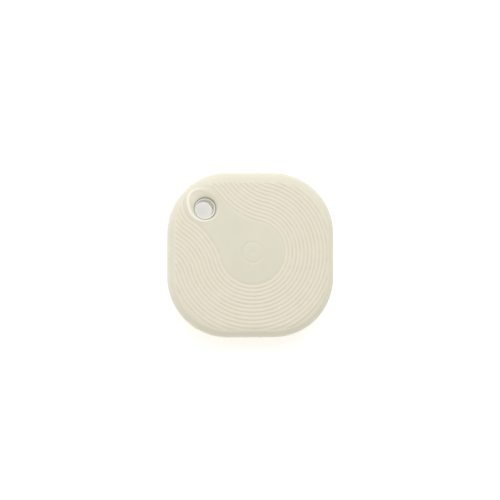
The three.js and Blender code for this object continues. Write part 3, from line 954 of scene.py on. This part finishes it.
def back_cover():
    """A tray with a rolled outer edge, a seal groove, an upstanding lip and a cell well."""
    cover = rolled_block(0, 0, COVER_RIM, 0, COVER_ROLL_INSET, COVER_ROLL_HEIGHT, 14)
    # The groove and the lip are drawn in and pushed down or up, ring by ring.
    pick(cover, "FACE", facing(1, COVER_RIM))
    steps = (
        (GROOVE_OUTER, GROOVE_FLOOR - COVER_RIM),
        (GROOVE_INNER - GROOVE_OUTER, LIP_TOP - GROOVE_FLOOR),
        (LIP_INNER - GROOVE_INNER, COVER_FLOOR - LIP_TOP),
    )
    for inward, climb in steps:
        bpy.ops.mesh.inset(thickness=inward)
        push(0, 0, climb)
    only(cover)
    well = ring(WELL_INNER, WELL_OUTER, COVER_FLOOR - 0.4, WELL_TOP, *CELL)
    beads = side_bars(
        BEAD_LENGTH, GROOVE_INNER - 0.2, GROOVE_INNER + 0.4, BEAD_Z - 0.25, BEAD_Z + 0.25,
    )
    for bead in beads:
        soften(bead, 0.12)
    combine(cover, "UNION", well, *beads)
    hole = EYE_WALL + 0.15
    notch_depth, notch_height = 0.7, 1.7
    notch_middle = COVER_RIM - notch_depth + notch_height / 2
    sound_x, sound_y, sound_pitch = 12.2, -4.0, 1.8
    cutters = [
        rod(3.6, COVER_FLOOR, LIP_TOP + 1, *EYE, 96),
        rod(hole, -1, COVER_FLOOR + 1, *EYE, 96),
        rod(COLLAR_RIM, -0.1, 0.5, *EYE, 96, hole),
        bar((6.0, 1.4, notch_height), (0, -HALF_Y, notch_middle)),
    ]
    for step in (-1, 0, 1):
        cutters.append(rod(0.45, -1, COVER_FLOOR + 1, sound_x, sound_y + step * sound_pitch, 32))
    combine(cover, "DIFFERENCE", *cutters)
    soften(cover, 0.12, 2, 50)
    return cover


def perimeter_seal():
    """A moulded ring in the groove, its edges rounded where the shell presses on it."""
    seal = rounded_block(GROOVE_OUTER + 0.15, GROOVE_FLOOR + 0.05, 2.8)
    combine(seal, "DIFFERENCE", rounded_block(GROOVE_INNER - 0.15, GROOVE_FLOOR - 1, 4))
    soften(seal, 0.16, 3)
    return seal


def eyelet_seal():
    """A soft round ring on the cover's floor, round the sleeve."""
    return ring(2.75, 3.45, 1.25, 2.15, *EYE, edge=0.2)


build(back_cover, "back_cover_moulding", "back_half")
build(perimeter_seal, "perimeter_seal_ring", "back_half")
build(eyelet_seal, "eyelet_seal_ring", "back_half")

# ---- Keyring sleeve, front shell and key ----


def keyring_sleeve():
    """A hard flanged bush through both halves, its mouths rounded for the ring."""
    foot, step, mouth = 0.5, 8.7, 9.3
    flange, flange_low, flange_high = 3.2, 6.9, 7.4
    section = (
        (EYE_BORE, foot), (EYE_WALL, foot), (EYE_WALL, flange_low), (flange, flange_low),
        (flange, flange_high), (EYE_WALL, flange_high), (EYE_WALL, step), (MOUTH_RADIUS, step),
        (MOUTH_RADIUS, mouth), (EYE_BORE + 0.1, mouth), (EYE_BORE, mouth - 0.15),
    )
    return turned(section, *EYE, 128, 0.05, 3)


def front_shell():
    """The stiff cap under the skin, with screw bosses, an eyelet boss and snap grooves."""
    shell = rolled_block(
        SHELL_OUTER, SHELL_BOTTOM, SHELL_TOP, SHELL_TOP, INNER_ROLL_INSET, INNER_ROLL_HEIGHT, 10,
    )
    # The inside is pushed up from the rim, and its ceiling drawn in for a cove.
    pick(shell, "FACE", facing(-1, SHELL_BOTTOM))
    bpy.ops.mesh.inset(thickness=SHELL_INNER - SHELL_OUTER)
    push(0, 0, SHELL_CEILING - 1 - SHELL_BOTTOM)
    bpy.ops.mesh.inset(thickness=SHELL_COVE - SHELL_INNER, depth=-1)
    only(shell)
    eye_hole = EYE_WALL + 0.15
    boss_top = SHELL_CEILING + 0.4
    bosses = [ring(eye_hole - 0.1, 3.3, 7.6, boss_top, *EYE)]
    bosses += [rod(1.5, BOARD_TOP + 0.15, boss_top, x, y, 48) for x, y in SCREWS]
    combine(shell, "UNION", *bosses)
    holes = side_bars(
        BEAD_LENGTH + 0.6, SHELL_INNER - 0.2, SHELL_INNER + 0.4, BEAD_Z - 0.4, BEAD_Z + 0.4,
    )
    holes += [rod(0.7, BOARD_TOP, SHELL_CEILING, x, y, 32) for x, y in SCREWS]
    holes.append(rod(KEY_RADIUS + 0.15, SHELL_CEILING - 1, SHELL_TOP + 1, 0, 0, 96))
    holes.append(rod(eye_hole, SHELL_CEILING - 1, SHELL_TOP + 1, *EYE, 96))
    combine(shell, "DIFFERENCE", *holes)
    soften(shell, 0.08, 2, 50)
    return shell


def key_plate():
    """A stepped disc that hangs in the shell's window, with a nub for the switch."""
    nub, nub_z = 1.0, 7.53
    flange, flange_low, flange_high = 5.85, 7.75, 8.2
    section = (
        (0, nub_z), (nub, nub_z), (nub, flange_low), (flange, flange_low),
        (flange, flange_high), (KEY_RADIUS, flange_high), (KEY_RADIUS, SHELL_TOP), (0, SHELL_TOP),
    )
    return turned(section, 0, 0, 96, 0.1)


build(keyring_sleeve, "keyring_sleeve_bush", "front_half")
build(front_shell, "front_shell_moulding", "front_half")
build(key_plate, "key_plate_disc", "press_key")

# ---- Coin cell ----


def cell_can():
    """The positive cup, its edge crimped in over the gasket and a plus sign pressed in."""
    crimp, crimp_low, crimp_high = 9.25, 4.02, 4.2
    inside, floor = 9.72, 1.6
    section = (
        (0, CELL_BOTTOM), (CELL_RADIUS, CELL_BOTTOM), (CELL_RADIUS, crimp_high),
        (crimp, crimp_high), (crimp, crimp_low), (inside, crimp_low), (inside, floor), (0, floor),
    )
    can = turned(section, *CELL, 128, 0.16, 4)
    plus = [bar(size, (*CELL, CELL_BOTTOM)) for size in ((4.0, 0.9, 0.12), (0.9, 4.0, 0.12))]
    combine(can, "DIFFERENCE", *plus)
    return can


def cell_gasket():
    """The thin nylon ring that shows between the crimp and the cap."""
    section = ((8.95, 1.7), (9.62, 1.7), (9.62, 3.97), (9.2, 3.97), (9.2, 4.15), (8.95, 4.15))
    return turned(section, *CELL, 128, 0.06, 2)


def cell_cap():
    """The negative cap, drawn with a soft shoulder and a shallow raised middle."""
    inner, outer, rim, ceiling, shoulder = 8.55, 8.85, 1.9, 4.2, 4.42
    section = (
        (0, ceiling), (inner, ceiling), (inner, rim), (outer, rim), (outer, shoulder),
        (7.9, shoulder), (7.5, CELL_TOP), (0, CELL_TOP),
    )
    return turned(section, *CELL, 128, 0.14, 4)


build(cell_can, "cell_can_crimped", "coin_cell")
build(cell_gasket, "cell_gasket_ring", "coin_cell")
build(cell_cap, "cell_cap_drawn", "coin_cell")

# ---- Cell holder and contacts ----


def strip(path, fold, turn=0.0):
    """Spring strip bent along (reach, z) corners from the cell's axis, its folds rounded."""
    only()
    bpy.ops.mesh.primitive_plane_add(size=CONTACT_WIDTH)
    piece = bpy.context.object
    edit(piece)
    mesh = bmesh.from_edit_mesh(piece.data)
    for vertex in mesh.verts:
        vertex.co.x, vertex.co.z = path[0] if vertex.co.x < 0 else path[1]
    bmesh.update_edit_mesh(piece.data)

    def across(corner):
        place = Vector((corner[0], 0, corner[1]))
        return lambda edge: (sum((v.co for v in edge.verts), Vector()) / 2 - place).length < 0.001

    for corner, following in zip(path[1:], path[2:]):
        pick(piece, "EDGE", across(corner))
        push(following[0] - corner[0], 0, following[1] - corner[1])
    for corner in path[1:-1]:
        round_edges(piece, across(corner), fold, 5)
    apply_modifier(piece, "SOLIDIFY", thickness=SHEET, offset=0)
    piece.rotation_euler.z = turn
    piece.location = (*CELL, 0)
    bpy.ops.object.transform_apply()
    soften(piece, 0.03, 2, 60)
    return piece


def beside_contact(reach):
    """A place on the side contact's line, this far from the cell's axis."""
    return CELL[0] + reach * math.cos(CONTACT_ANGLE), CELL[1] + reach * math.sin(CONTACT_ANGLE)


def cell_holder():
    """A thin wall round the cell, open where the side contact passes."""
    inner, outer = 10.4, 11.4
    holder = ring(inner, outer, 3.4, 5.2, *CELL, 128, 0.1)
    opening = bar((3.0, 3.2, 4.0), (*beside_contact((inner + outer) / 2), 4.3), CONTACT_ANGLE)
    combine(holder, "DIFFERENCE", opening)
    soften(holder, 0.08, 2, 60)
    return holder


def negative_contact():
    """A bow under the board, whose middle presses on the cell's cap."""
    path = (
        (-4.5, FOOT_Z), (-2.5, FOOT_Z), (-0.6, BOW_Z), (0.6, BOW_Z), (2.5, FOOT_Z), (4.5, FOOT_Z),
    )
    return strip(path, 0.3)


def positive_contact():
    """A leaf that stands beside the cell's can and turns out to a foot."""
    beside, leaf_end, foot_end = 10.175, 2.6, 12.25
    path = ((beside, leaf_end), (beside, FOOT_Z), (foot_end, FOOT_Z))
    return strip(path, 0.25, CONTACT_ANGLE)


build(cell_holder, "cell_holder_ring", "front_half")
build(negative_contact, "negative_contact_bow", "front_half")
build(positive_contact, "positive_contact_leaf", "front_half")

# ---- Board, pads and screws ----


def circuit_board():
    """The board with its screw holes and the clearance hole round the sleeve."""
    board = rounded_block(BOARD_INSET, BOARD_BOTTOM, BOARD_TOP)
    holes = [rod(EYE_WALL + 0.3, BOARD_BOTTOM - 1, BOARD_TOP + 1, *EYE, 96)]
    holes += [rod(0.85, BOARD_BOTTOM - 1, BOARD_TOP + 1, x, y, 32) for x, y in SCREWS]
    combine(board, "DIFFERENCE", *holes)
    soften(board, 0.05, 2, 60)
    return board


def board_pads():
    """Bare plated pads on the cell side: under the contacts, round the screws, for tests."""
    z = BOARD_BOTTOM - 0.01
    thick = 0.06
    pads = [bar((2.2, 2.8, thick), (CELL[0] + side * 3.6, CELL[1], z)) for side in (-1, 1)]
    pads.append(bar((1.8, 2.8, thick), (*beside_contact(11.5), z), CONTACT_ANGLE))
    low, high = z - thick / 2, z + thick / 2
    pads += [ring(0.95, 1.7, low, high, x, y, 48) for x, y in SCREWS]
    pads += [rod(0.45, low, high, -4.0 + 1.5 * step, -12.6, 32) for step in range(6)]
    pads += [rod(0.16, low, high, -1.0 + 0.8 * step, 7.4, 12) for step in range(8)]
    only(*pads)
    bpy.ops.object.join()
    return bpy.context.object


def board_screw(x, y):
    """A small pan-head screw with a cross recess and a rolled thread."""
    under = BOARD_BOTTOM - 0.05
    head = under - 0.55
    pitch = 0.4
    thread = []
    core, crest, head_radius = 0.5, 0.64, 1.3
    for turn in range(5):
        level = under + 0.3 + turn * pitch
        thread += [(core, level), (crest, level + pitch / 2)]
    end = thread[-1][1] + 0.1
    section = [
        (0, head), (head_radius, head), (head_radius, under), (core, under), *thread,
        (core - 0.1, end), (0, end),
    ]
    screw = turned(section, x, y, 48)
    round_edges(screw, rim_at(head), 0.22, 4)
    only(screw)
    cross = [bar(size, (x, y, head)) for size in ((1.5, 0.32, 0.6), (0.32, 1.5, 0.6))]
    combine(screw, "DIFFERENCE", *cross)
    return screw


build(circuit_board, "circuit_board_panel", "front_half")
pads = board_pads()
pads.data.materials.append(FINISHES["gold_plate"])
finished(pads, "board_pads", "disc_brass", "front_half")
for number, place in enumerate(SCREWS, 1):
    node = f"board_screw_{number}"
    finished(board_screw(*place), f"{node}_pan_head", "screw_steel", "front_half", node)

# ---- Switch and sounder ----


def cad_box(node):
    """The low and high corners of a CAD node."""
    return [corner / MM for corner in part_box(node)]


def cad_block(node):
    """A block that fills a CAD node's box."""
    low, high = cad_box(node)
    return bar(high - low, (low + high) / 2)


def switch_body():
    """A moulded base with a round pocket for the plunger."""
    body = cad_block("switch_body")
    combine(body, "DIFFERENCE", rod(1.3, 6.2, 8, 0, 0, 48))
    soften(body, 0.12, 2, 60)
    return body


def switch_cover():
    """A thin steel plate with the stem's hole, held by four rivets."""
    plate = cad_block("switch_cover")
    combine(plate, "DIFFERENCE", rod(0.95, 6, 8, 0, 0, 48))
    soften(plate, 0.05, 2, 60)
    rivets = [rod(0.28, 6.95, 7.13, 1.5 * i, 1.5 * j, 24, 0.2) for i in (-1, 1) for j in (-1, 1)]
    combine(plate, "UNION", *rivets)
    return plate


def switch_plunger():
    """The stem, flanged so that it can't fall out."""
    flange, stem, low, step, top = 1.15, 0.8, 6.6, 6.85, 7.5
    section = ((0, low), (flange, low), (flange, step), (stem, step), (stem, top), (0, top))
    return turned(section, 0, 0, 48, 0.08)


def sounder_case():
    """A square box set on the diagonal, with a port over the disc."""
    side, bottom = SOUNDER_SIDE, BOARD_TOP + 0.05
    top = bottom + SOUNDER_HEIGHT
    box = bar((side, side, SOUNDER_HEIGHT), (*SOUNDER, (bottom + top) / 2), math.pi / 4)
    round_edges(box, upright, 0.8, 6)
    room = rod(side / 2 - 0.5, bottom + 0.5, top - 0.5, *SOUNDER, 64)
    combine(box, "DIFFERENCE", room, rod(0.7, top - 1, top + 1, *SOUNDER, 32))
    soften(box, 0.12, 2, 50)
    return box


def sounder_disc():
    """A thin brass disc with the smaller ceramic disc that drives it."""
    bottom = BOARD_TOP + 0.7
    step, top = bottom + 0.08, bottom + 0.15
    brass, ceramic = 3.6, 2.6
    section = (
        (0, bottom), (brass, bottom), (brass, step), (ceramic, step), (ceramic, top), (0, top),
    )
    return turned(section, *SOUNDER, 64, 0.02, 2)


build(switch_body, "switch_base", "front_half")
build(switch_cover, "switch_plate", "front_half")
build(switch_plunger, "switch_stem", "plunger")
build(sounder_case, "sounder_box", "front_half")
build(sounder_disc, "sounder_diaphragm", "front_half")

# ---- Chips ----


def chip(node, capped):
    """A chip that fills its CAD box, with soft edges and, where asked, tinned end caps."""
    body = cad_block(node)
    soften(body, 0.05, 2, 60)
    if capped:
        low, high = cad_box(node)
        size = high - low
        long_axis = 0 if size.x > size.y else 1
        cap = min(0.25 * size[long_axis], 0.6)
        edit(body)
        for end in (low[long_axis] + cap, high[long_axis] - cap):
            pick_all()
            spot, across = [0, 0, 0], [0, 0, 0]
            spot[long_axis], across[long_axis] = end, 1
            bpy.ops.mesh.bisect(plane_co=spot, plane_no=across)
        body.data.materials.append(FINISHES[SLOTS[node]])
        body.data.materials.append(FINISHES["solder"])
        only(body)
        for face in body.data.polygons:
            away = abs(face.center[long_axis] - (low[long_axis] + high[long_axis]) / 2)
            face.material_index = int(away > size[long_axis] / 2 - cap)
    return body


def radio_chip():
    """The radio's package, with a small dimple over its first pin."""
    body = cad_block("radio_chip")
    soften(body, 0.04, 2, 60)
    low, high = cad_box("radio_chip")
    dimple = rod(0.35, high.z - 0.05, high.z + 1, low.x + 1, high.y - 1, 32)
    combine(body, "DIFFERENCE", dimple)
    return body


build(radio_chip, "radio_chip_package", "front_half")

PLAIN = ("radio_crystal", "clock_crystal", "sounder_driver")
CAPPED = [name for name in frame["nodes"] if name.startswith(("capacitor_", "resistor_"))]
CAPPED += ["chip_antenna", "power_inductor"]
for name in (*PLAIN, *CAPPED):
    finished(chip(name, name in CAPPED), f"{name}_package", SLOTS[name], "front_half", name)

# ---- Floor, light and camera ----


def light_table():
    """A pale floor with a faint glow, as the light table that small goods lie on."""
    only()
    bpy.ops.mesh.primitive_plane_add(size=4.0, location=(0, 0, -0.0002))
    floor = bpy.context.object
    floor.name = "floor"
    made, _, _ = material(
        "white_light_table", Base_Color=linear("#f4f4f2"), Roughness=0.8,
        Emission_Color=linear("#ffffff"), Emission_Strength=0.4,
    )
    floor.data.materials.append(made)


def soft_light(name, place, size, power, colour):
    """A square soft box that looks at the tag; metres and watts."""
    lamp = bpy.data.lights.new(name, "AREA")
    lamp.color = linear(colour)[:3]
    lamp.size = size
    lamp.energy = power
    holder = bpy.data.objects.new(name, lamp)
    holder.location = place
    holder.rotation_euler = (-Vector(place)).to_track_quat("-Z", "Y").to_euler()
    bpy.context.scene.collection.objects.link(holder)


def front_camera():
    """Looks down on the face from a little left of and below its middle, +Y upwards."""
    distance = 0.240
    from_left, from_below = math.radians(4.8), math.radians(1.0)
    view_from = Vector((-math.sin(from_left), -math.sin(from_below), 0))
    view_from.z = math.sqrt(1 - view_from.length_squared)
    aim = Vector((0, 1.1, 5.0)) * MM
    lens = bpy.data.cameras.new("camera")
    lens.sensor_width, lens.lens = 36, 79.4
    camera = bpy.data.objects.new("camera", lens)
    right = Vector((0, 1, 0)).cross(view_from).normalized()
    up = view_from.cross(right)
    turn = Matrix((right, up, view_from)).transposed().to_4x4()
    camera.matrix_world = Matrix.Translation(aim + view_from * distance) @ turn
    bpy.context.scene.collection.objects.link(camera)
    bpy.context.scene.camera = camera


def room_light(colour, strength):
    """Even white light from the whole room."""
    world = bpy.data.worlds.new("room")
    world.use_nodes = True
    background = world.node_tree.nodes["Background"]
    background.inputs["Color"].default_value = linear(colour)
    background.inputs["Strength"].default_value = strength
    bpy.context.scene.world = world


light_table()
soft_light("key_light", (-0.03, 0.37, 0.56), 0.45, 2.3, "#f6faff")
soft_light("fill_light", (-0.5, 0.1, 0.3), 0.4, 0.12, "#f6faff")
room_light("#fffdf8", 0.62)
front_camera()
bpy.context.scene.view_settings.view_transform = "Standard"
